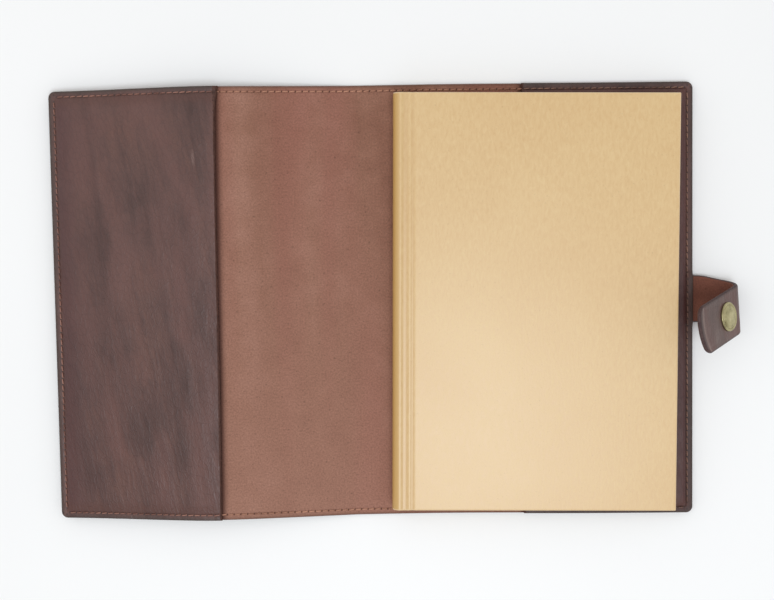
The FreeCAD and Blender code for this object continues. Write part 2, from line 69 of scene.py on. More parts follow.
joints = {j["name"]: j for j in frame["joints"]}
back_low, back_high = mm_box("back_panel")
HALF_HEIGHT = back_high[1]
LEATHER = back_high[2] - back_low[2]
FORE_EDGE = back_high[0]
FOLD = joints["spine_fold"]["pos_m"][0] / MM
RISE = 90 - joints["front_fold"]["range_deg"][1]
FLEX_X = joints["front_flex"]["pos_m"][0] / MM
FLEX = FOLD - (FLEX_X + FOLD) / math.cos(math.radians(RISE))
BEND = joints["front_flex"]["range_deg"][1]
MOUTH = mm_box("back_pocket")[0][0]
CORNER = 3.5
SEAM = 3.0
PITCH = 3.5
FLAP = 1.5
STRAP_HALF = mm_box("strap_tongue")[1][1]
STRAP_LENGTH = 64.6

board_low, board_high = mm_box("notebook_front_board")
BOOK_TOP = board_high[2]
BOARD = board_high[2] - board_low[2]
BOOK_YAW = math.radians(-0.75)
BOOK_CENTRE = (84.7, -0.65)
BOOK_HALF_WIDTH = 147.8 / 2
BOOK_HALF_HEIGHT = 216.6 / 2
BOOK_BOTTOM = LEATHER
CASE_ROUND = 3.9
BOARD_FLAT = 2 * BOOK_HALF_WIDTH - CASE_ROUND
CASE_SIDE = BOOK_TOP - BOOK_BOTTOM - 2 * CASE_ROUND
CASE_PATH = 2 * BOARD_FLAT + CASE_SIDE + CASE_ROUND * math.pi
SHOULDER_AT = BOARD_FLAT + CASE_ROUND

# ---- the cover's side profile

FOLD_REACH = 5.0
FLEX_REACH = 22.0
PROFILE_STEP = 0.1
# How the leather is out of true. The tapers narrow it at the spine and, added to that, at each fore-edge.
FRONT_PULL = 1.9
MOUTH_PULL = -1.0
FRONT_SKEW = 0.0075
SPINE_TAPER = 0.5
FRONT_TAPER = 1.4
BACK_TAPER = -0.3
SPINE_BOW = 0.6


def smooth(t):
    """A ramp from 0 to 1 with level ends."""
    t = np.clip(t, 0, 1)
    return t * t * (3 - 2 * t)


def profile_table():
    """The middle of the outer leather, from above the spine out to the front fore-edge, by arc length."""
    s = np.arange(0, FORE_EDGE + 2, PROFILE_STEP)
    rise = math.radians(RISE) * smooth((s - FOLD + FOLD_REACH) / (2 * FOLD_REACH))
    fall = math.radians(BEND) * smooth((s - FLEX + FLEX_REACH) / (2 * FLEX_REACH))
    angle = rise - fall
    x = np.concatenate([[0], np.cumsum(np.cos(angle[:-1]) * PROFILE_STEP)])
    z = np.concatenate([[0], np.cumsum(np.sin(angle[:-1]) * PROFILE_STEP)])
    return s, x, z + LEATHER / 2, angle


PROFILE = profile_table()


def hand_cut(u, y):
    """The leather as it was cut and has stretched: the front draws in, leans and tapers at its fore-edge."""
    front = np.maximum(-u, 0)
    to_mouth = smooth(front / MOUTH)
    to_edge = smooth((front - MOUTH) / (FORE_EDGE - MOUTH))
    pull = MOUTH_PULL * to_mouth + (FRONT_PULL - MOUTH_PULL) * to_edge
    lean = -FRONT_SKEW * y * to_edge
    taper = SPINE_TAPER + FRONT_TAPER * to_edge + BACK_TAPER * smooth(u / FORE_EDGE)
    bow = SPINE_BOW * np.exp(-((u - 40) / 62) ** 2)
    return u + pull + lean, y * (1 - taper / HALF_HEIGHT) + bow


def place_cover(u, y, h):
    """A point of the outer leather: u along it from the spine's middle, positive over the back cover, and h
    above the middle of its thickness."""
    u, y = hand_cut(u, y)
    s, px, pz, pa = PROFILE
    back = u >= 0
    x = np.where(back, u, -np.interp(-u, s, px))
    z = np.where(back, LEATHER / 2, np.interp(-u, s, pz))
    a = np.where(back, 0.0, np.interp(-u, s, pa))
    return np.stack([x + np.sin(a) * h, y, z + np.cos(a) * h], -1)


# ---- sheets of leather as closed meshes

def fbm(points, scale, seed, octaves=3):
    """Smooth noise at each row of points, from -1 to 1 or so."""
    shift = Vector((seed * 7.1, seed * 3.7, seed * 1.9))
    return np.array([noise.fractal(Vector(p) * scale + shift, 1.0, 2.0, octaves) for p in points])


def inset_of(u, y, far, half, corner):
    """Distance in from the outline of a sheet that ends at u = far with rounded corners."""
    du = np.maximum(u - (far - corner), 0)
    dy = np.maximum(np.abs(y) - (half - corner), 0)
    in_corner = (du > 0) & (dy > 0)
    straight = np.minimum(far - u, half - np.abs(y))
    return np.maximum(np.where(in_corner, corner - np.hypot(du, dy), straight), 0)


def rounding(inset, reach):
    """1 inside, falling round to 0 at the outline: the shape of a burnished edge."""
    t = np.clip(inset / reach, 0, 1)
    return np.sqrt(1 - (1 - t) ** 2)


def lines_to(edge, inner, step, lines=EDGE_LINES):
    """Grid lines from inner to edge, crowded near the edge."""
    sign = 1 if edge > inner else -1
    near = [edge - sign * d for d in lines][::-1]
    count = max(2, int(abs(near[0] - inner) / step) + 1)
    return np.concatenate([np.linspace(inner, near[0], count)[:-1], near])


def mirrored(lines):
    """Lines right across a sheet, from those that run from its middle to one edge."""
    return np.concatenate([-lines[::-1][:-1], lines])


def even_rows(rows, width):
    """Rows of grid points as one array; a row of another length is spread again over the same stretch."""
    shares = np.linspace(0, 1, width)
    return np.array([np.interp(shares, np.linspace(0, 1, len(row)), row) for row in rows])


def sheet_grid(us, step):
    """Grid points of a sheet as high as the cover: every u line runs from one long edge to the other."""
    rows = []
    for u in us:
        over = max(0.0, abs(u) - (FORE_EDGE - CORNER))
        reach = HALF_HEIGHT - (CORNER - math.sqrt(max(0.0, CORNER ** 2 - over ** 2)))
        rows.append(mirrored(lines_to(reach, 0, step)))
    y = even_rows(rows, min(len(row) for row in rows))
    return np.repeat(np.array(us)[:, None], y.shape[1], 1), y


def new_object(name, vertices, faces, materials, face_slots=None, uv=None):
    """A smooth-shaded mesh in the scene; uv is each vertex's place on its flat pattern."""
    mesh = bpy.data.meshes.new(name)
    mesh.from_pydata([tuple(v) for v in vertices], [], faces)
    piece = bpy.data.objects.new(name, mesh)
    bpy.context.scene.collection.objects.link(piece)
    for m in materials:
        mesh.materials.append(m)
    if face_slots is not None:
        mesh.polygons.foreach_set("material_index", face_slots)
    if uv is not None:
        layer = mesh.uv_layers.new(name="flat")
        loops = np.zeros(len(mesh.loops), int)
        mesh.loops.foreach_get("vertex_index", loops)
        layer.data.foreach_set("uv", np.asarray(uv, float)[loops].ravel())
    mesh.polygons.foreach_set("use_smooth", [True] * len(mesh.polygons))
    return piece


def weld(piece, distance=0.002 * MM):
    """Joins points that lie together and turns every face outwards."""
    mesh = bmesh.new()
    mesh.from_mesh(piece.data)
    bmesh.ops.remove_doubles(mesh, verts=mesh.verts, dist=distance)
    bmesh.ops.dissolve_degenerate(mesh, edges=mesh.edges, dist=distance / 4)
    bmesh.ops.recalc_face_normals(mesh, faces=mesh.faces)
    mesh.to_mesh(piece.data)
    mesh.free()


def slab_faces(n, m):
    """Faces of a closed slab on two grids of n by m points, as two lists: both sides, and the rim."""
    count = n * m
    i, j = np.meshgrid(np.arange(n - 1), np.arange(m - 1), indexing="ij")
    a = (i * m + j).ravel()
    upper = np.stack([a, a + m, a + m + 1, a + 1], 1)
    lower = (upper + count)[:, ::-1]
    ring = (list(range(m)) + [r * m + m - 1 for r in range(1, n)]
            + [(n - 1) * m + k for k in range(m - 2, -1, -1)] + [r * m for r in range(n - 2, 0, -1)])
    rim = [[start, end, end + count, start + count] for start, end in zip(ring, ring[1:] + ring[:1])]
    return upper.tolist() + lower.tolist(), rim


TOP_SLOT, BOTTOM_SLOT, EDGE_SLOT, MOUTH_SLOT = range(4)


def slab(name, upper, lower, u, y, materials, edge_faces=False):
    """A closed slab from the points of its two sides; u and y are kept as its flat pattern. Its materials are
    the upper side's, the lower side's and the edge's, which edge_faces also gives to faces beside the rim."""
    n, m = u.shape
    sides, rim = slab_faces(n, m)
    slots = None
    if len(materials) > 1:
        on_edge = EDGE_SLOT * np.broadcast_to(edge_faces, (n - 1, m - 1)).ravel()
        below = np.maximum(on_edge, BOTTOM_SLOT)
        slots = np.concatenate([on_edge, below, np.full(len(rim), EDGE_SLOT)]).tolist()
    points = np.concatenate([upper.reshape(-1, 3), lower.reshape(-1, 3)]) * MM
    flat = np.stack([u.ravel(), y.ravel()], 1) * MM
    piece = new_object(name, points, sides + rim, materials, slots, np.concatenate([flat, flat]))
    weld(piece)
    return piece


def sheet_piece(name, u, y, top, bottom, place, materials, cut_at=(), edge_faces=False):
    """A closed sheet: grids of u and y, heights of both faces, and a function that puts them in place.
    At the places named by cut_at it goes on as another piece."""
    piece = slab(name, place(u, y, top), place(u, y, bottom), u, y, materials, edge_faces)
    if cut_at:
        mark_cut_ends(piece, cut_at)
    return piece


def mark_cut_ends(piece, cut_at):
    """The flat ends where one sheet goes on as another piece are sharp, so that they shade as one."""
    mesh = piece.data
    flat = mesh.uv_layers["flat"].data
    on_end = {loop.vertex_index for loop in mesh.loops
              if any(abs(flat[loop.index].uv[0] - u * MM) < 1e-7 for u in cut_at)}
    sharp = mesh.attributes.get("sharp_edge") or mesh.attributes.new("sharp_edge", "BOOLEAN", "EDGE")
    values = [edge.vertices[0] in on_end and edge.vertices[1] in on_end for edge in mesh.edges]
    sharp.data.foreach_set("value", values)


# ---- seams

def seam_dent(u, y, inset, depth):
    """How far the thread pulls the surface down along the seam, and most of all at each needle hole."""
    along = np.where(HALF_HEIGHT - np.abs(y) < FORE_EDGE - np.abs(u), np.abs(u), y)
    at_hole = 0.5 + 0.5 * np.cos(2 * np.pi * along / PITCH)
    line = np.exp(-((inset - SEAM) / 0.75) ** 2)
    return depth * line * (0.55 + 0.45 * at_hole)


# ---- materials

def srgb(code):
    """A colour written as a hex triplet, in linear light."""
    parts = [int(code[i:i + 2], 16) / 255 for i in (0, 2, 4)]
    return tuple(c / 12.92 if c <= 0.04045 else ((c + 0.055) / 1.055) ** 2.4 for c in parts) + (1.0,)


BAND_REACH = 40.0


class Surface:
    """A material under construction: short calls that add and join shader nodes."""

    def __init__(self, name):
        self.material = bpy.data.materials.new(name)
        self.material.use_nodes = True
        self.tree = self.material.node_tree
        self.shader = self.tree.nodes["Principled BSDF"]
        self.flat = self.tree.nodes.new("ShaderNodeUVMap").outputs[0]

    def add(self, kind, **inputs):
        node = self.tree.nodes.new(kind)
        for key, value in inputs.items():
            self.join(value, node.inputs[key.replace("_", " ")])
        return node

    def join(self, value, socket):
        if isinstance(value, bpy.types.NodeSocket):
            self.tree.links.new(value, socket)
        else:
            socket.default_value = value

    def solid(self):
        return self.add("ShaderNodeTexCoord").outputs["Object"]

    def stretched(self, vector, scale):
        node = self.add("ShaderNodeMapping", Vector=vector)
        node.inputs["Scale"].default_value = scale
        return node.outputs[0]

    def slanted(self, vector, degrees, scale):
        """The vector turned about Z and then stretched, for a pattern that leans."""
        node = self.add("ShaderNodeMapping", Vector=vector)
        node.inputs["Rotation"].default_value = (0, 0, math.radians(degrees))
        return self.stretched(node.outputs[0], scale)

    def place(self, axis):
        """The place along one axis of the flat pattern, in metres (0 is u, 1 is y)."""
        return self.add("ShaderNodeSeparateXYZ", Vector=self.flat).outputs[axis]

    def reach(self, axis, limit):
        """Millimetres in from +-limit along one axis of the flat pattern."""
        away = self.math("ABSOLUTE", self.place(axis))
        return self.math("MULTIPLY", self.math("SUBTRACT", limit * MM, away), 1 / MM)

    def band(self, distance, *stops):
        """A grey level that depends on a distance in millimetres, up to BAND_REACH."""
        share = self.math("DIVIDE", distance, BAND_REACH)
        return self.ramp(share, *[(place / BAND_REACH, level) for place, level in stops])

    def holes(self):
        """Millimetres from the nearest needle hole of the seam that runs round the cover."""
        gaps = []
        for along, across, limit in ((0, 1, HALF_HEIGHT), (1, 0, FORE_EDGE)):
            run = self.math("MULTIPLY", self.place(along), 1 / MM)
            gap = self.math("PINGPONG", run, PITCH / 2)
            off = self.math("SUBTRACT", self.reach(across, limit), SEAM)
            gaps.append(self.math("ADD", self.math("POWER", gap, 2.0), self.math("POWER", off, 2.0)))
        return self.math("SQRT", self.math("MINIMUM", *gaps), 0.0)

    def near(self, u, y, width, height):
        """How far from a place on the flat leather, where 1 is the outline of an ellipse round it."""
        node = self.add("ShaderNodeMapping", Vector=self.flat)
        node.vector_type = "TEXTURE"
        node.inputs["Location"].default_value = (u * MM, y * MM, 0)
        node.inputs["Scale"].default_value = (width * MM, height * MM, 1)
        length = self.tree.nodes.new("ShaderNodeVectorMath")
        length.operation = "LENGTH"
        self.join(node.outputs[0], length.inputs[0])
        return length.outputs["Value"]

    def path(self):
        """How far round the notebook's case the nearer fore-edge is, in metres."""
        along = self.place(0)
        return self.math("MINIMUM", along, self.math("SUBTRACT", CASE_PATH * MM, along))

    def noise(self, vector, scale, detail=4.0, rough=0.55, distortion=0.0):
        node = self.add("ShaderNodeTexNoise", Vector=vector, Scale=scale, Detail=detail, Roughness=rough,
                        Distortion=distortion)
        return node.outputs["Fac"]

    def cells(self, vector, scale, feature="DISTANCE_TO_EDGE"):
        node = self.tree.nodes.new("ShaderNodeTexVoronoi")
        node.feature = feature
        self.join(vector, node.inputs["Vector"])
        node.inputs["Scale"].default_value = scale
        return node.outputs["Distance"]

    def ramp(self, value, *stops):
        node = self.tree.nodes.new("ShaderNodeValToRGB")
        self.join(value, node.inputs[0])
        elements = node.color_ramp.elements
        while len(elements) < len(stops):
            elements.new(0.5)
        for element, (place, colour) in zip(elements, stops):
            element.position = place
            element.color = colour if isinstance(colour, tuple) else (colour, colour, colour, 1)
        return node.outputs[0]

    def mix(self, factor, a, b, blend="MIX"):
        """Two colours as one; a mix node has them at its sockets 6 and 7."""
        node = self.tree.nodes.new("ShaderNodeMix")
        node.data_type = "RGBA"
        node.blend_type = blend
        self.join(factor, node.inputs[0])
        self.join(a, node.inputs[6])
        self.join(b, node.inputs[7])
        return node.outputs[2]

    def math(self, operation, a, b=0.5):
        node = self.tree.nodes.new("ShaderNodeMath")
        node.operation = operation
        self.join(a, node.inputs[0])
        self.join(b, node.inputs[1])
        return node.outputs[0]

    def bump(self, height, distance, strength=1.0, below=None):
        node = self.add("ShaderNodeBump", Height=height, Distance=distance, Strength=strength)
        if below is not None:
            self.join(below, node.inputs["Normal"])
        return node.outputs[0]

    def finish(self, colour, roughness, normal=None, **constants):
        self.join(colour, self.shader.inputs["Base Color"])
        self.join(roughness, self.shader.inputs["Roughness"])
        if normal is not None:
            self.join(normal, self.shader.inputs["Normal"])
        for key, value in constants.items():
            self.shader.inputs[key.replace("_", " ")].default_value = value
        return self.material


def outline_distance(s):
    """Millimetres in from the cover's outline, anywhere on the flat leather."""
    return s.math("MINIMUM", s.reach(0, FORE_EDGE), s.reach(1, HALF_HEIGHT))


def grain_leather(name, dark, mid, light, veins=0.5, rough=(0.36, 0.52), grain=1.0, border="cover"):
    """Oiled full-grain leather: fine pebbles, leaning pull-up veins, and dye that gathers at the edges."""
    s = Surface(name)
    clouds = s.noise(s.flat, 20, 5, 0.62)
    wide = s.noise(s.slanted(s.flat, -10, (1.0, 0.13, 1.0)), 75, 4, 0.55, 0.6)
    thin = s.noise(s.slanted(s.flat, -13, (1.0, 0.16, 1.0)), 330, 5, 0.62, 1.1)
    tone = s.math("ADD", s.math("MULTIPLY", clouds, 1 - veins),
                  s.math("MULTIPLY", s.math("ADD", wide, thin), veins / 2))
    colour = s.ramp(tone, (0.38, dark), (0.5, mid), (0.63, light))
    redden = s.ramp(s.noise(s.slanted(s.flat, -6, (1.0, 0.3, 1.0)), 48, 3, 0.5), (0.44, 0.0), (0.62, 0.6))
    colour = s.mix(redden, colour, srgb("66413A"))
    fine = s.noise(s.flat, 1500, 3, 0.6)
    colour = s.mix(0.3, colour, s.ramp(fine, (0.35, 0.36), (0.65, 0.66)), "OVERLAY")
    if border == "flap":
        gutter = s.band(s.reach(0, FORE_EDGE), (3.4, 0.0), (5.0, 0.75), (8.4, 0.6), (14.0, 0.25), (34.0, 0.0))
        colour = s.mix(gutter, colour, srgb("4C2A29"))
        gutter = s.band(s.reach(1, HALF_HEIGHT), (3.4, 0.0), (4.6, 0.6), (6.4, 0.5), (9.5, 0.0))
        colour = s.mix(gutter, colour, srgb("543027"))
        scuff = s.ramp(s.near(-MOUTH - 11.5, 77, 2.6, 5.0), (0.0, 0.36), (1.0, 0.0))
        scratched = s.math("MULTIPLY", scuff, s.ramp(thin, (0.5, 0.0), (0.56, 1.0)))
        colour = s.mix(scratched, colour, srgb("9A8078"))
    if border == "strap":
        tip = s.reach(0, STRAP_LENGTH)
        inset = s.math("MINIMUM", tip, s.reach(1, STRAP_HALF))
        colour = s.mix(s.band(inset, (0.0, 0.9), (1.0, 0.5), (1.6, 0.0)), colour, srgb("3A2927"))
        colour = s.mix(s.band(tip, (0.8, 0.7), (2.2, 0.5), (2.7, 0.0)), colour, srgb("3A2927"))
        # Part burnish and part painted highlight: a pale line along the crease that runs round the tip.
        colour = s.mix(s.band(tip, (2.4, 0.0), (2.9, 0.55), (3.2, 0.5), (4.6, 0.0)), colour, srgb("8F7C75"))
    else:
        edge = s.band(outline_distance(s), (0.0, 1.0), (0.9, 0.7), (2.2, 0.12), (6.0, 0.0))
        colour = s.mix(edge, colour, srgb("3A2C26"))
        colour = s.mix(s.band(s.holes(), (0.25, 0.8), (0.75, 0.0)), colour, srgb("2A1814"))
    pebbles = s.cells(s.flat, 950, "SMOOTH_F1")
    creases = s.cells(s.slanted(s.flat, -12, (1.0, 0.55, 1.0)), 420)
    creased = s.ramp(creases, (0.0, 0.0), (0.09, 1.0))
    colour = s.mix(0.12, colour, creased, "MULTIPLY")
    normal = s.bump(pebbles, 0.00018, 0.3 * grain)
    normal = s.bump(creased, 0.00012, 0.35 * grain, normal)
    normal = s.bump(thin, 0.0005, 0.35, normal)
    normal = s.bump(wide, 0.0016, 0.4, normal)
    roughness = s.ramp(s.noise(s.flat, 90, 4, 0.65), (0.3, rough[0]), (0.7, rough[1]))
    return s.finish(colour, roughness, normal, Specular_IOR_Level=0.5)


def suede(name, dark, mid, light, banded=True):
    """The matte flesh side: short nap, specks and faint bands, with painted shade across the front cover's
    bend, painted light towards the tail and a painted shadow beside the pocket mouths.
    """
    s = Surface(name)
    bands = s.noise(s.slanted(s.flat, -3, (1.0, 0.07, 1.0)), 38, 3, 0.5)
    clouds = s.noise(s.flat, 60, 5, 0.6)
    mixed = s.math("ADD", s.math("MULTIPLY", bands, 0.5), s.math("MULTIPLY", clouds, 0.5))
    colour = s.ramp(mixed, (0.3, dark), (0.5, mid), (0.7, light))
    if banded:
        wine = s.noise(s.stretched(s.flat, (1.0, 0.06, 1.0)), 26, 2, 0.5)
        colour = s.mix(s.ramp(wine, (0.46, 0.0), (0.58, 0.5)), colour, srgb("8E5B4F"))
        # Painted shade: a darker band on the suede inside the front cover's bend, mirrored on the back half.
        bend_shade = s.band(s.reach(0, FLEX), (14.0, 0.0), (22.0, 0.5), (32.0, 0.45), (40.0, 0.0))
        colour = s.mix(s.math("MULTIPLY", bend_shade, 0.5), colour, dark)
        # Painted light: the suede is mixed towards its light colour more and more towards the tail, where the
        # key lamp falls.
        painted_tail_light = s.math("MULTIPLY", s.math("SUBTRACT", 0.09, s.place(1)), 2.6)
        colour = s.mix(painted_tail_light, colour, light)
    specks = s.noise(s.flat, 1100, 5, 0.72)
    colour = s.mix(0.5, colour, s.ramp(specks, (0.34, 0.28), (0.66, 0.72)), "OVERLAY")
    pores = s.ramp(s.noise(s.flat, 620, 2, 0.5), (0.27, 0.45), (0.36, 1.0))
    colour = s.mix(0.5, colour, pores, "MULTIPLY")
    edge = s.band(outline_distance(s), (0.0, 0.8), (0.9, 0.4), (2.0, 0.0))
    if banded:
        colour = s.mix(edge, colour, srgb("54392F"))
        # Painted shadow: a dark band on the suede beside each pocket mouth, where the flap's edge stands off
        # it.
        mouth_shadow = s.band(s.reach(0, MOUTH), (0.0, 0.9), (0.8, 0.75), (2.0, 0.3), (3.6, 0.0))
        colour = s.mix(mouth_shadow, colour, srgb("4A2A22"))
        colour = s.mix(s.band(s.holes(), (0.3, 0.85), (0.8, 0.0)), colour, srgb("4A2C24"))
    nap = s.noise(s.flat, 2600, 3, 0.7)
    normal = s.bump(specks, 0.00025, 0.55)
    normal = s.bump(nap, 0.0001, 0.5, normal)
    return s.finish(colour, 0.9, normal, Specular_IOR_Level=0.25, Sheen_Weight=0.1, Sheen_Roughness=0.6)


def burnished_edge(name, dark, light):
    """The cut edge: dark, waxed, with the fibre layers just showing."""
    s = Surface(name)
    fibres = s.noise(s.stretched(s.solid(), (1, 1, 9)), 420, 4, 0.6)
    colour = s.ramp(fibres, (0.35, dark), (0.7, light))
    return s.finish(colour, 0.62, s.bump(fibres, 0.0002, 0.4), Specular_IOR_Level=0.32)


def waxed_thread(name, dark, light):
    """Waxed thread: fine fibres, and a tone that changes slowly from stitch to stitch."""
    s = Surface(name)
    fibre = s.noise(s.solid(), 2600, 3, 0.7)
    tone = s.noise(s.solid(), 60, 2, 0.5)
    colour = s.ramp(s.math("ADD", s.math("MULTIPLY", fibre, 0.4), s.math("MULTIPLY", tone, 0.6)),
                    (0.38, dark), (0.62, light))
    return s.finish(colour, 0.6, s.bump(fibre, 0.00008, 0.6))


def kraft(name, dark, mid, light):
    """Kraft covering paper on board: long pulp fibres and specks, with painted shade on the spine's shoulder
    and in the joints and a painted highlight along the outer edges.
    """
    s = Surface(name)
    clouds = s.noise(s.flat, 14, 3, 0.5)
    pulp = s.noise(s.stretched(s.flat, (1.0, 0.35, 1.0)), 700, 5, 0.7, 0.6)
    mixed = s.math("ADD", s.math("MULTIPLY", clouds, 0.3), s.math("MULTIPLY", pulp, 0.7))
    colour = s.ramp(mixed, (0.28, dark), (0.5, mid), (0.72, light))
    specks = s.ramp(s.noise(s.flat, 900, 2, 0.5), (0.28, 0.0), (0.34, 1.0))
    colour = s.mix(0.12, colour, specks, "MULTIPLY")
    normal = s.bump(pulp, 0.00012, 0.3)
    normal = s.bump(clouds, 0.0012, 0.1, normal)
    from_fore_edge = s.math("DIVIDE", s.path(), MM)
    from_spine = s.math("SUBTRACT", SHOULDER_AT, from_fore_edge)
    # Painted shade: the rounded shoulder of the spine is coloured darker and deeper yellow.
    shoulder_shade = s.band(from_spine, (0.0, 0.9), (2.6, 0.75), (3.9, 0.0))
    colour = s.mix(shoulder_shade, colour, srgb("BE9450"))
    # Painted shade: darker bands in the pressed joint beside the spine and in the line where the board
    # starts.
    joint = s.band(from_spine, (4.6, 0.0), (5.6, 0.3), (7.2, 0.3), (8.2, 0.0), (9.2, 0.0), (10.2, 0.3),
                   (11.4, 0.0))
    colour = s.mix(joint, colour, srgb("BD9560"))
    # Painted highlight: a pale line along the case's fore-edges, head and tail.
    rim = s.math("MINIMUM", from_fore_edge, s.reach(1, BOOK_HALF_HEIGHT))
    colour = s.mix(s.band(rim, (0.0, 0.55), (0.45, 0.5), (0.8, 0.0)), colour, srgb("E6CBA6"))
    roughness = s.ramp(pulp, (0.3, 0.34), (0.7, 0.42))
    return s.finish(colour, roughness, normal, Specular_IOR_Level=0.8)


def page_edges(name):
    """Trimmed paper: many thin leaves, each a slightly different cream."""
    s = Surface(name)
    leaves = s.noise(s.stretched(s.solid(), (0.02, 0.02, 1.0)), 9000, 2, 0.6)
    colour = s.ramp(leaves, (0.35, srgb("C9BFA8")), (0.6, srgb("EFE8D6")))
    return s.finish(colour, 0.85, s.bump(leaves, 0.0001, 0.5))


def antique_brass(name):
    """Brass with patchy tarnish and fine scratches."""
    s = Surface(name)
    tarnish = s.noise(s.solid(), 260, 5, 0.6)
    colour = s.ramp(tarnish, (0.34, srgb("948B66")), (0.52, srgb("B3AA80")), (0.7, srgb("C6BD95")))
    scratches = s.noise(s.stretched(s.solid(), (1, 6, 1)), 1800, 3, 0.6)
    roughness = s.ramp(tarnish, (0.3, 0.26), (0.7, 0.38))
    return s.finish(colour, roughness, s.bump(scratches, 0.00004, 0.25), Metallic=1.0)


def spring_steel(name):
    """Drawn spring wire, with fine marks along it."""
    s = Surface(name)
    drawn = s.noise(s.stretched(s.solid(), (1, 1, 4)), 1500, 3, 0.5)
    colour = s.ramp(drawn, (0.3, srgb("8A8A88")), (0.7, srgb("B8B7B2")))
    return s.finish(colour, 0.35, s.bump(drawn, 0.00004, 0.3), Metallic=1.0)


FLAP_GRAIN = grain_leather("flap_grain", srgb("40241E"), srgb("4F312B"), srgb("5F3D34"), 0.62, border="flap")
OUTSIDE_GRAIN = grain_leather("outside_grain", srgb("40261F"), srgb("563831"), srgb("6C4A3F"), 0.35)
STRAP_GRAIN = grain_leather("strap_grain", srgb("463330"), srgb("5B4641"), srgb("6E5750"), 0.3, (0.34, 0.46),
                            border="strap")
SUEDE = suede("inside_suede", srgb("7D5545"), srgb("8D6453"), srgb("9E7464"))
STRAP_FLESH = suede("strap_flesh", srgb("5E3A2F"), srgb("77493B"), srgb("8A5A4A"), False)
FLAP_FLESH = suede("flap_flesh", srgb("5A3A33"), srgb("6C473E"), srgb("7E574B"), False)
# A duller copy of the front flap's leather for the back pocket; its darker colours are painted shade over the
# strip beside the notebook.
BACK_FLAP_GRAIN = grain_leather("back_flap_grain", srgb("351C18"), srgb("482A25"), srgb("5B3A31"), 0.6,
                                (0.5, 0.62), border="flap")
MOUTH_EDGE = burnished_edge("mouth_edge", srgb("3B221C"), srgb("5C3D33"))
EDGE = burnished_edge("burnished_edge", srgb("2C1A15"), srgb("4B352C"))
STRAP_EDGE = burnished_edge("strap_edge", srgb("38262A"), srgb("59443F"))
# The back pocket's thread is a darker copy of the flap thread: painted shade beside the notebook.
DARK_THREAD = waxed_thread("dark_waxed_thread", srgb("5E4237"), srgb("94705F"))
FLAP_THREAD = waxed_thread("flap_waxed_thread", srgb("5F3B32"), srgb("9A6E60"))
THREAD = waxed_thread("waxed_thread", srgb("875945"), srgb("BF8B72"))
KRAFT = kraft("kraft_cover", srgb("CAA46E"), srgb("D2B07B"), srgb("D9BB87"))
PAPER = page_edges("page_edges")
BRASS = antique_brass("antique_brass_snap")
STEEL = spring_steel("spring_steel")

# ---- the outer leather

SHEET_STEP = 0.85
ACROSS_STEP = 1.7


def outer_heights(u, y):
    """Heights of the outer leather's two faces above its middle."""
    inset = inset_of(np.abs(u), y, FORE_EDGE, HALF_HEIGHT, CORNER)
    half = LEATHER / 2 * rounding(inset, 0.7)
    dent = seam_dent(u, y, inset, 0.16)
    return half - dent, -half + dent


def u_lines(start, end):
    """Lines across the cover between two places; an end at a fore-edge gets crowded lines."""
    if end == FORE_EDGE:
        return lines_to(end, start, SHEET_STEP)
    if start == -FORE_EDGE:
        return lines_to(start, end, SHEET_STEP)[::-1]
    return np.linspace(start, end, int((end - start) / SHEET_STEP) + 1)


def outer_piece(name, start, end, cut_at):
    """One stretch of the outer leather, with a slow wave in the front cover."""
    u, y = sheet_grid(u_lines(start, end), ACROSS_STEP)
    top, bottom = outer_heights(u, y)
    wave = fbm(np.stack([u.ravel(), y.ravel(), 0 * u.ravel()], 1), 0.02, 3).reshape(u.shape)
    away = smooth((-u - 30) / 40) * 0.25
    lift = wave * away
    materials = [SUEDE, OUTSIDE_GRAIN, EDGE]
    return sheet_piece(name, u, y, top + lift, bottom + lift, place_cover, materials, cut_at)


SPINE_SPLIT = 0.0
INNER_SPLIT = -44.0


back_leather = outer_piece("outer_leather_back", SPINE_SPLIT, FORE_EDGE, (SPINE_SPLIT,))
spine_leather = outer_piece("outer_leather_spine", INNER_SPLIT, SPINE_SPLIT, (INNER_SPLIT, SPINE_SPLIT))
front_leather = outer_piece("outer_leather_front", -FORE_EDGE, INNER_SPLIT, (INNER_SPLIT,))
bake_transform(back_leather)
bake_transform(spine_leather)
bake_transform(front_leather)
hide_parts("back_panel")
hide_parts("spine_panel", "front_inner_panel")
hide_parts("front_outer_panel")

# ---- the pocket flaps

STRAP_ROOM = 1.25
MOUTH_REACH = 1.1
MOUTH_SLOPE = 0.6
MOUTH_LINES = np.array([0, 0.06, 0.18, 0.36, 0.6, 0.85, 1.1, 1.35, 1.6, 2.0, 2.6])


def front_bulge(d, from_mouth):
    """How far the empty front flap stands off the leather under it."""
    middle = smooth((d - SEAM - 0.3) / 7) * 0.35
    mouth = 0.55 * np.exp(-from_mouth / 9) * smooth((d - SEAM - 0.5) / 14)
    return middle + mouth + 0.04


def back_bulge(d, y):
    """The back flap lies over the notebook's board, and over the strap's root at the fore-edge."""
    board = 2.4 * smooth((d - SEAM - 0.1) / 2.0)
    strap = STRAP_ROOM * smooth((STRAP_HALF + 2.2 - np.abs(y)) / 2.0)
    return np.maximum(board, strap) + 0.02


def mouth_line(y):
    """The cut edge of a flap isn't quite straight; it draws in near the head."""
    return 0.25 * np.sin(y / 31.0) - 1.3 * np.exp(-((HALF_HEIGHT - y) / 9.0) ** 2)


def flap_grid(side):
    """Grid of a flap, as distances from the spine's middle (always positive); side is -1 for the front."""
    inner = MOUTH + MOUTH_LINES
    outer = lines_to(FORE_EDGE, inner[-1], SHEET_STEP)
    u, y = sheet_grid(np.concatenate([inner[:-1], outer]), ACROSS_STEP)
    if side < 0:
        u = u + mouth_line(y) * (1 - smooth((u - MOUTH) / 25))
    return u, y


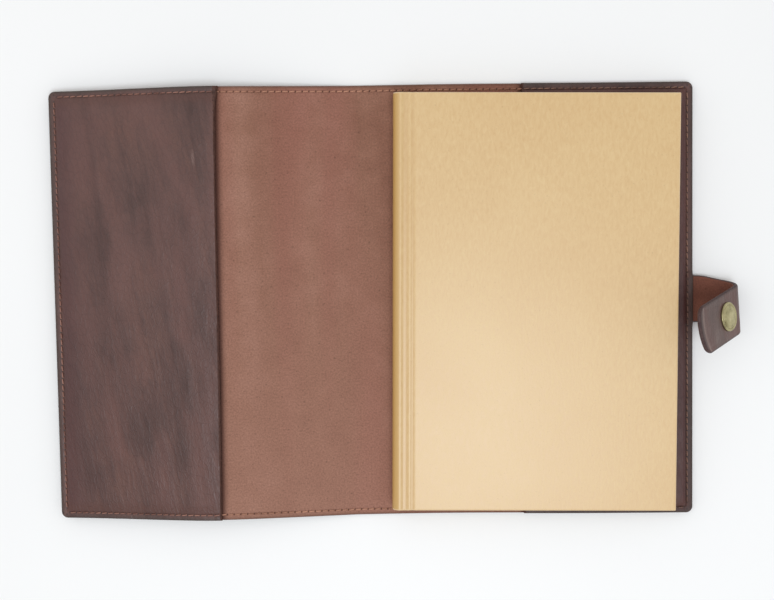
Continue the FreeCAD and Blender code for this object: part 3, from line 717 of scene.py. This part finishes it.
def flap_levels(side):
    """Grids of a flap's u, y, and the heights of its two faces above the outer leather's middle."""
    u, y = flap_grid(side)
    d = inset_of(u, y, FORE_EDGE, HALF_HEIGHT, CORNER)
    from_mouth = np.maximum(u - u[0:1, :], 0)
    bulge = front_bulge(d, from_mouth) if side < 0 else back_bulge(d, y)
    edge = rounding(np.minimum(d, from_mouth), 0.45)
    slope = 1 - MOUTH_SLOPE * (1 - smooth(from_mouth / MOUTH_REACH))
    dent = seam_dent(u, y, d, 0.3)
    points = np.stack([u.ravel(), y.ravel(), 0 * u.ravel()], 1)
    drape = fbm(points, 0.028, 5 + side).reshape(u.shape) * smooth((d - 5) / 25) * 0.22
    middle = LEATHER / 2 + FLAP / 2 + bulge + np.maximum(drape, -0.1) - dent * 0.5
    top = middle - FLAP / 2 + FLAP * (0.5 + edge / 2) * slope - dent * 0.5
    return u * side, y, top, middle - (FLAP / 2) * edge + 0.02


def flap_piece(name, levels, grain):
    """A pocket flap, with its skived mouth in a material of its own."""
    u, y, top, bottom = levels
    piece = sheet_piece(name, u, y, top, bottom, place_cover, [grain, FLAP_FLESH, EDGE, MOUTH_EDGE])
    flat = piece.data.uv_layers["flat"].data
    mouth_u = (abs(u[:, 0]).min() + MOUTH_REACH * 0.8) * MM
    for polygon in piece.data.polygons:
        if polygon.material_index == TOP_SLOT and abs(flat[polygon.loop_start].uv[0]) < mouth_u:
            polygon.material_index = MOUTH_SLOT
    return piece


front_levels = flap_levels(-1)
back_levels = flap_levels(1)
front_flap = flap_piece("front_pocket_flap", front_levels, FLAP_GRAIN)
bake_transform(front_flap)
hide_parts("front_pocket")
back_flap = flap_piece("back_pocket_flap", back_levels, BACK_FLAP_GRAIN)
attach(back_flap, "back_cover")
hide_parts("back_pocket")

# ---- the thread

THREAD_RADIUS = 0.34
THREAD_PROUD = 0.2
THREAD_DIP = 0.45
STITCH_GAP = 0.35
STITCH_LEAN = 0.10
LEAN_SPREAD = 0.03
FLAP_LIFT = 0.12
PANEL_LEVEL = LEATHER / 2 - 0.02
# The stitches underneath are pressed in, so that none stands below the table.
UNDER_SINK = 0.56
RINGS = 9
SIDES = 8


def stitch_shape():
    """One two-ply stitch along +X: it rises out of a hole, lies proud of the leather and dips again."""
    t = np.linspace(-1, 1, RINGS)
    x = t * ((PITCH - STITCH_GAP) / 2)
    lift = THREAD_PROUD * (1 - np.abs(t) ** 5) - THREAD_DIP * np.abs(t) ** 7
    radius = THREAD_RADIUS * (1 - 0.28 * np.abs(t) ** 4)
    angle = np.linspace(0, 2 * np.pi, SIDES, endpoint=False)
    ring, turn = np.meshgrid(np.arange(RINGS), angle, indexing="ij")
    ply = 1 + 0.13 * np.cos(2 * turn - x[ring] * 5.2)
    across = radius[ring] * ply * np.cos(turn)
    up = lift[ring] + radius[ring] * ply * np.sin(turn)
    return np.stack([x[ring], across, up], -1).reshape(-1, 3)


def stitch_faces(count):
    """Faces of count stitches that follow one another in the vertex list."""
    one = []
    for r in range(RINGS - 1):
        for k in range(SIDES):
            n = (k + 1) % SIDES
            one.append([r * SIDES + k, r * SIDES + n, (r + 1) * SIDES + n, (r + 1) * SIDES + k])
    one.append(list(range(SIDES))[::-1])
    one.append([(RINGS - 1) * SIDES + k for k in range(SIDES)])
    step = RINGS * SIDES
    return [[v + i * step for v in face] for i in range(count) for face in one]


def seam_points(start, end):
    """Stitch middles along the head and tail between two places. Each is (u, y, direction), with the holes on
    whole pitches."""
    spots = []
    reach = HALF_HEIGHT - SEAM
    last = int((FORE_EDGE - SEAM) / PITCH)
    for k in range(-last, last):
        u = (k + 0.5) * PITCH
        if start <= u <= end:
            spots += [(u, reach, 0.0), (u, -reach, 0.0)]
    return spots


def fore_edge_points(side, skip, only=False):
    """Stitch middles up a fore-edge, leaving out those nearer its middle than skip, or only those."""
    rows = int((HALF_HEIGHT - SEAM) / PITCH)
    found = []
    for k in range(-rows, rows):
        y = (k + 0.5) * PITCH
        if (abs(y) < skip) == only:
            found.append((side * (FORE_EDGE - SEAM), y, math.pi / 2))
    return found


def height_at(levels, spots):
    """The thread's height at each spot, a little above a flap's top face."""
    u, y, top, _ = levels
    flat_u, flat_y, flat_top = u.ravel(), y.ravel(), top.ravel()
    return [flat_top[np.argmin((flat_u - a) ** 2 + (flat_y - b) ** 2)] + FLAP_LIFT for a, b, _ in spots]


def thread_piece(name, spots, tops, crossing=None, body=None, nodes=(), thread=THREAD):
    """All the stitches of one seam, on the inside and on the outside of the leather."""
    low = -LEATHER / 2 + UNDER_SINK
    shape = stitch_shape()
    random = np.random.default_rng(len(spots))
    points = []
    for (u, y, direction), top in zip(spots, tops):
        for face, level in ((1, top), (-1, low)):
            lean = direction + face * STITCH_LEAN + random.normal(0, LEAN_SPREAD)
            c, s = math.cos(lean), math.sin(lean)
            su = u + shape[:, 0] * c - shape[:, 1] * s
            sy = y + shape[:, 0] * s + shape[:, 1] * c
            points.append(place_cover(su, sy, level + face * shape[:, 2]))
    vertices = np.concatenate(points) * MM
    piece = new_object(name, vertices, stitch_faces(2 * len(spots)), [thread])
    weld(piece, 1e-9)
    if crossing:
        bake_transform(piece)
    else:
        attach(piece, body)
    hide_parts(*nodes)


inner_spots = seam_points(INNER_SPLIT, SPINE_SPLIT)
outer_spots = seam_points(-MOUTH, INNER_SPLIT)
back_spots = seam_points(SPINE_SPLIT, MOUTH)
thread_piece("seam_back", back_spots, [PANEL_LEVEL] * len(back_spots), "spine",
             nodes=("back_panel_stitching",))
thread_piece("seam_spine", inner_spots, [PANEL_LEVEL] * len(inner_spots), "fold", nodes=("spine_stitching",))
thread_piece("seam_front_inner", outer_spots, [PANEL_LEVEL] * len(outer_spots), "flex",
             nodes=("front_inner_stitching",))
front_spots = seam_points(-FORE_EDGE, -MOUTH) + fore_edge_points(-1, 0)
thread_piece("seam_front_pocket", front_spots, height_at(front_levels, front_spots), "flex",
             nodes=("front_pocket_stitching",), thread=FLAP_THREAD)
pocket_spots = seam_points(MOUTH, FORE_EDGE) + fore_edge_points(1, STRAP_HALF)
thread_piece("seam_back_pocket", pocket_spots, height_at(back_levels, pocket_spots), body="back_cover",
             nodes=("back_pocket_stitching",), thread=DARK_THREAD)
tack_spots = fore_edge_points(1, STRAP_HALF, only=True)
thread_piece("seam_strap_tack", tack_spots, height_at(back_levels, tack_spots), body="back_cover",
             nodes=("strap_tack_stitching",), thread=DARK_THREAD)

# ---- the notebook

CLOTH = 1.2
CASE_CORNER = 0.8
CASE_LINES = [0, 0.08, 0.22, 0.42, 0.7, 1.1]


def place_book(x, y, z):
    """Book coordinates (x from its middle, z from the table) into the row frame."""
    c, s = math.cos(BOOK_YAW), math.sin(BOOK_YAW)
    return np.stack([BOOK_CENTRE[0] + x * c - y * s, BOOK_CENTRE[1] + x * s + y * c, z], -1)


def case_point(w):
    """x, z and outward direction on the case's outer face, at a distance w from the front board's fore-edge
    over the spine towards the back board's."""
    left = -BOOK_HALF_WIDTH
    r = CASE_ROUND
    quarter = r * math.pi / 2
    if w <= BOARD_FLAT:
        return BOOK_HALF_WIDTH - w, BOOK_TOP, 0.0, 1.0
    w -= BOARD_FLAT
    if w <= quarter:
        a = w / r
        return left + r - r * math.sin(a), BOOK_TOP - r + r * math.cos(a), -math.sin(a), math.cos(a)
    w -= quarter
    if w <= CASE_SIDE:
        return left, BOOK_TOP - r - w, -1.0, 0.0
    w -= CASE_SIDE
    if w <= quarter:
        a = w / r
        return left + r - r * math.cos(a), BOOK_BOTTOM + r - r * math.sin(a), -math.cos(a), -math.sin(a)
    w -= quarter
    return left + r + w, BOOK_BOTTOM, 0.0, -1.0


def joint_shape(from_spine):
    """Depth of the hollows beside the spine: the pressed joint and a line where the board starts."""
    joint = 0.5 * np.exp(-((from_spine - 6.3) / 1.7) ** 4)
    line = 0.3 * np.exp(-((from_spine - 10.2) / 0.9) ** 2)
    return joint + line


def case_thickness(from_spine):
    """Board where there is board, cloth and paper only over the joint and the spine."""
    return CLOTH + (BOARD - CLOTH) * smooth((from_spine - 8.0) / 1.2)


def case_grid():
    """Grid of the case: the way round it, and the way from tail to head."""
    board = np.linspace(1.8, BOARD_FLAT - 20, 60)
    joint = np.linspace(BOARD_FLAT - 19.5, BOARD_FLAT + 0.5, 45)
    turn_over = np.linspace(BOARD_FLAT + 0.8, CASE_PATH / 2, 14)
    half = np.concatenate([CASE_LINES, board, joint, turn_over])
    path = np.concatenate([half, CASE_PATH - half[::-1][1:]])
    across = mirrored(lines_to(BOOK_HALF_HEIGHT, 0, 3.0, CASE_LINES + [2.0, 3.5]))
    return np.meshgrid(path, across, indexing="ij")


def make_case():
    """The notebook's two boards and spine as one folded case, with its pressed joints."""
    w, y = case_grid()
    placed = np.array([case_point(v) for v in w[:, 0]])
    x, z, nx, nz = (np.repeat(placed[:, k][:, None], w.shape[1], 1) for k in range(4))
    from_end = np.minimum(w, CASE_PATH - w)
    over_end = BOOK_HALF_HEIGHT - np.abs(y)
    cx = np.maximum(CASE_CORNER - from_end, 0)
    cy = np.maximum(CASE_CORNER - over_end, 0)
    pull = np.where((cx > 0) & (cy > 0), np.maximum(np.hypot(cx, cy) - CASE_CORNER, 0), 0) * math.sqrt(0.5)
    x = x - pull
    y = y - np.sign(y) * pull
    from_spine = np.maximum(SHOULDER_AT - from_end, 0)
    on_boards = from_end < BOARD_FLAT
    sunk = np.where(on_boards, joint_shape(from_spine), 0)
    thick = np.where(on_boards, case_thickness(from_spine), CLOTH)
    soft = thick / 2 * (1 - rounding(np.minimum(from_end, over_end), 0.6))
    outer, inner = (place_book(x + nx * depth, y, z + nz * depth) for depth in (-(sunk + soft), soft - thick))
    case = slab("notebook_case", outer, inner, w, y, [KRAFT])
    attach(case, "back_cover")
    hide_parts("notebook_front_board", "notebook_back_board", "notebook_spine")


make_case()


LEAVES = 34
LEAF_SHARE = 0.93
BOARD_OVERHANG = 3.2
SPINE_ROOM = 1.5


def make_page_block():
    """The page block as a stack of thin leaves, each trimmed a hair differently."""
    low, high = mm_box("notebook_signatures")
    bottom, top = low[2], high[2]
    random = np.random.default_rng(11)
    thick = (top - bottom) / LEAVES
    left = -BOOK_HALF_WIDTH + SPINE_ROOM
    right = BOOK_HALF_WIDTH - BOARD_OVERHANG
    reach = BOOK_HALF_HEIGHT - BOARD_OVERHANG
    vertices, faces = [], []
    for k in range(LEAVES):
        z0 = bottom + k * thick
        z1 = z0 + thick * LEAF_SHARE
        r = right + random.normal(0, 0.06)
        h = reach + random.normal(0, 0.04)
        rounded = left + 1.6 * (abs(k - LEAVES / 2) / (LEAVES / 2)) ** 3
        outline = [(rounded, -h), (r - 1.5, -h), (r - 0.4, -h + 0.4), (r, -h + 1.5),
                   (r, h - 1.5), (r - 0.4, h - 0.4), (r - 1.5, h), (rounded, h)]
        start = len(vertices)
        for z in (z0, z1):
            vertices += [tuple(place_book(x, y, z) * MM) for x, y in outline]
        n = len(outline)
        faces.append([start + i for i in range(n)][::-1])
        faces.append([start + n + i for i in range(n)])
        faces += [[start + i, start + (i + 1) % n, start + n + (i + 1) % n, start + n + i] for i in range(n)]
    block = new_object("page_block", vertices, faces, [PAPER])
    block.data.polygons.foreach_set("use_smooth", [False] * len(block.data.polygons))
    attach(block, "back_cover")
    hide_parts("notebook_signatures", "notebook_back_endpaper", "notebook_front_endpaper")


make_page_block()

# ---- the strap

ROOT = np.array(joints["strap_root"]["pos_m"]) / MM
STRAP_YAW = math.radians(-12.0)
STRAP_RISE = math.radians(12.5)
FOLD_SKEW = math.radians(-15.0)
FOLD_ANGLE = math.radians(122.0)
FOLD_RADIUS = 6.3
WEB_LENGTH = 14.1
STRAP_THICK = 2.2
TIP_RADIUS = 4.0
TIP_BOW = 3.2
TIP_REACH = 13
SNAP_ALONG = 38.5
STRAP_LINES = [0, 0.06, 0.18, 0.36, 0.6, 0.9, 1.3]
EDGE_BAND = 0.75

along_dir = np.array([math.cos(STRAP_RISE) * math.cos(STRAP_YAW), math.cos(STRAP_RISE) * math.sin(STRAP_YAW),
                      math.sin(STRAP_RISE)])
across_dir = np.array([-math.sin(STRAP_YAW), math.cos(STRAP_YAW), 0.0])
flesh_dir = np.cross(along_dir, across_dir)
ruling = math.sin(FOLD_SKEW) * along_dir + math.cos(FOLD_SKEW) * across_dir
roll_dir = math.cos(FOLD_SKEW) * along_dir - math.sin(FOLD_SKEW) * across_dir
FOLD_START = WEB_LENGTH * math.cos(FOLD_SKEW)


def place_strap(along, across, h):
    """A point of the strap: along it from the root, across it, and h above its middle on the flesh side."""
    near_tip = smooth((along - STRAP_LENGTH + TIP_REACH) / TIP_REACH)
    along = along + TIP_BOW * near_tip * (0.45 - (across / STRAP_HALF) ** 2)
    u = along * math.cos(FOLD_SKEW) - across * math.sin(FOLD_SKEW)
    v = along * math.sin(FOLD_SKEW) + across * math.cos(FOLD_SKEW)
    a = np.clip((u - FOLD_START) / FOLD_RADIUS, 0, FOLD_ANGLE)
    past = np.maximum(u - FOLD_START - FOLD_RADIUS * FOLD_ANGLE, 0)
    before = np.minimum(u, FOLD_START)
    roll = before + FOLD_RADIUS * np.sin(a) + past * np.cos(a) - h * np.sin(a)
    rise = FOLD_RADIUS * (1 - np.cos(a)) + past * np.sin(a) + h * np.cos(a)
    curled = ROOT + roll[..., None] * roll_dir + rise[..., None] * flesh_dir + v[..., None] * ruling
    straight = np.stack([ROOT[0] + along, across, ROOT[2] + h], -1)
    k = smooth((along + 1.5) / 8.0)[..., None]
    return straight * (1 - k) + curled * k


def strap_outline(along):
    """Half the strap's width, with its rounded tip."""
    over = np.maximum(along - (STRAP_LENGTH - TIP_RADIUS), 0)
    return STRAP_HALF - TIP_RADIUS + np.sqrt(np.maximum(TIP_RADIUS ** 2 - over ** 2, 0))


def strap_piece(name, start, end):
    """The strap between two places; one of them is WEB_SPLIT, where it goes on as the other piece."""
    if end == STRAP_LENGTH:
        along_lines = lines_to(end, start, 0.6, STRAP_LINES + [1.8, 2.4, 3.1, 4.0])
    else:
        along_lines = np.linspace(start, end, int((end - start) / 0.5) + 2)
    near = STRAP_LINES + [1.7, 2.1, 2.6]
    rows = [mirrored(lines_to(half, 0, 0.9, near)) for half in strap_outline(along_lines)]
    y = even_rows(rows, len(rows[0]))
    u = np.repeat(along_lines[:, None], y.shape[1], 1)
    inset = inset_of(u, y, STRAP_LENGTH, STRAP_HALF, TIP_RADIUS)
    half = STRAP_THICK / 2 * rounding(inset, 1.3)
    skive = 1 - 0.45 * smooth((1.5 - u) / 3.0)
    crease = 0.22 * np.exp(-((inset - 2.5) / 0.34) ** 2) * smooth((u - 52) / 6)
    points = np.stack([u.ravel(), y.ravel(), 0 * u.ravel()], 1)
    lumps = fbm(points, 0.09, 9).reshape(u.shape) * 0.12 * smooth((inset - 1) / 4)
    top = half * skive + lumps
    bottom = -half * skive + crease + lumps
    shift = -(1 - skive) * 0.6
    edge_faces = (inset[:-1, :-1] + inset[1:, 1:]) / 2 < EDGE_BAND
    return sheet_piece(name, u, y, top + shift, bottom + shift, place_strap,
                       [STRAP_FLESH, STRAP_GRAIN, STRAP_EDGE], (WEB_SPLIT,), edge_faces)


TONGUE = mm_box("strap_tongue")[0][0] - ROOT[0]
WEB_SPLIT = 8.2
root_piece = strap_piece("strap_root_and_web", TONGUE, WEB_SPLIT)
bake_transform(root_piece)
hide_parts("strap_tongue", "strap_web")
tab_piece = strap_piece("strap_fold_and_tab", WEB_SPLIT, STRAP_LENGTH)
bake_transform(tab_piece)
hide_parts("strap_tab")

# ---- the snap

CAP_RADIUS = 7.5
CAP_HEIGHT = 1.5


def cap_seat():
    """Where the cap sits: the point on the strap's grain face and the outward direction there."""
    along, across = np.array(SNAP_ALONG), np.array(0.0)
    inner = place_strap(along, across, np.array(0.0))
    outer = place_strap(along, across, np.array(-STRAP_THICK / 2))
    normal = (outer - inner) / np.linalg.norm(outer - inner)
    return outer, normal


def turned(name, outline, centre, axis, material, segments=72):
    """A lathe-turned piece from (radius, height) points, on a centre and along an axis."""
    turn = Vector(axis).to_track_quat("Z", "Y").to_matrix()
    vertices, faces = [], []
    for k in range(segments):
        a = 2 * math.pi * k / segments
        for radius, height in outline:
            local = turn @ Vector((radius * math.cos(a), radius * math.sin(a), height))
            vertices.append(tuple((Vector(centre) + local) * MM))
    n = len(outline)
    for k in range(segments):
        m = (k + 1) % segments
        for i in range(n - 1):
            faces.append([k * n + i, m * n + i, m * n + i + 1, k * n + i + 1])
    piece = new_object(name, vertices, faces, [material])
    weld(piece, 1e-7)
    return piece


def cap_outline(radius, height):
    """A low dome with a rolled rim, a shallow ring groove and a short post underneath."""
    dome = [(radius * 0.80 * math.sin(t), height * (0.62 + 0.38 * math.cos(t)))
            for t in np.linspace(0, math.pi / 2, 12)]
    rim_centre = radius * 0.9
    rim = [(rim_centre - radius * 0.1 * math.cos(t), height * 0.45 + height * 0.35 * math.sin(t))
           for t in np.linspace(0.1, math.pi, 10)]
    under = [(radius * 0.99, 0.12 * height), (radius * 0.93, 0.0), (radius * 0.4, 0.0),
             (radius * 0.3, -STRAP_THICK * 0.9), (0.0, -STRAP_THICK * 0.9)]
    return dome + rim + under


cap = turned("snap_cap_turned", cap_outline(CAP_RADIUS, CAP_HEIGHT), *cap_seat(), BRASS)
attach(cap, "strap_tab")
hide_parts("snap_cap")

METALS = {"snap_socket": BRASS, "snap_stud": BRASS, "snap_stud_rivet": BRASS, "snap_spring": STEEL}
for node_name, metal in METALS.items():
    frame["nodes"][node_name].data.materials.clear()
    frame["nodes"][node_name].data.materials.append(metal)

# ---- floor, light and camera

FLOOR_LEVEL = -0.0001


def floor_material():
    """A matt, almost white table."""
    s = Surface("studio_floor")
    tone = s.noise(s.solid(), 3, 2, 0.4)
    colour = s.ramp(tone, (0.3, srgb("F1F1F1")), (0.7, srgb("F5F5F5")))
    return s.finish(colour, 0.7)


floor_corners = [(x, y, FLOOR_LEVEL) for x, y in ((-3, -3), (3, -3), (3, 3), (-3, 3))]
floor = new_object("floor", floor_corners, [[0, 1, 2, 3]], [floor_material()])


def area_light(name, location, target, width, power, colour):
    """A square lamp at one place that faces another, in metres and watts."""
    data = bpy.data.lights.new(name, "AREA")
    data.size = width
    data.energy = power
    data.color = colour
    lamp = bpy.data.objects.new(name, data)
    lamp.location = location
    lamp.rotation_mode = "QUATERNION"
    lamp.rotation_quaternion = (Vector(target) - Vector(location)).to_track_quat("-Z", "Y")
    bpy.context.scene.collection.objects.link(lamp)


area_light("key", (0.12, -0.29, 1.25), (0.03, 0, 0), 0.42, 5.2, (0.93, 1.0, 1.07))
area_light("fill", (-0.8, 0.35, 1.3), (0, 0, 0), 1.2, 3.0, (0.97, 0.985, 1.0))

bpy.context.scene.view_settings.view_transform = "Standard"

world = bpy.data.worlds.new("studio")
world.use_nodes = True
world.node_tree.nodes["Background"].inputs["Color"].default_value = (1.0, 0.99, 0.972, 1)
world.node_tree.nodes["Background"].inputs["Strength"].default_value = 0.70
bpy.context.scene.world = world

EYE = Vector((0.00785, 0.0334, 0.6498))
TARGET = Vector((0.00785, 0.0011, 0.0))
ROLL = math.radians(0.682)
LENS = 57.1

forward = (TARGET - EYE).normalized()
right = forward.cross(Vector((0, 1, 0))).normalized()
up = right.cross(forward)
rolled_right = math.cos(ROLL) * right - math.sin(ROLL) * up
rolled_up = math.sin(ROLL) * right + math.cos(ROLL) * up
camera_data = bpy.data.cameras.new("camera")
camera_data.lens = LENS
camera_data.sensor_width = 36
camera = bpy.data.objects.new("camera", camera_data)
rotation = Matrix((rolled_right, rolled_up, -forward)).transposed()
camera.matrix_world = Matrix.Translation(EYE) @ rotation.to_4x4()
bpy.context.scene.collection.objects.link(camera)
bpy.context.scene.camera = camera
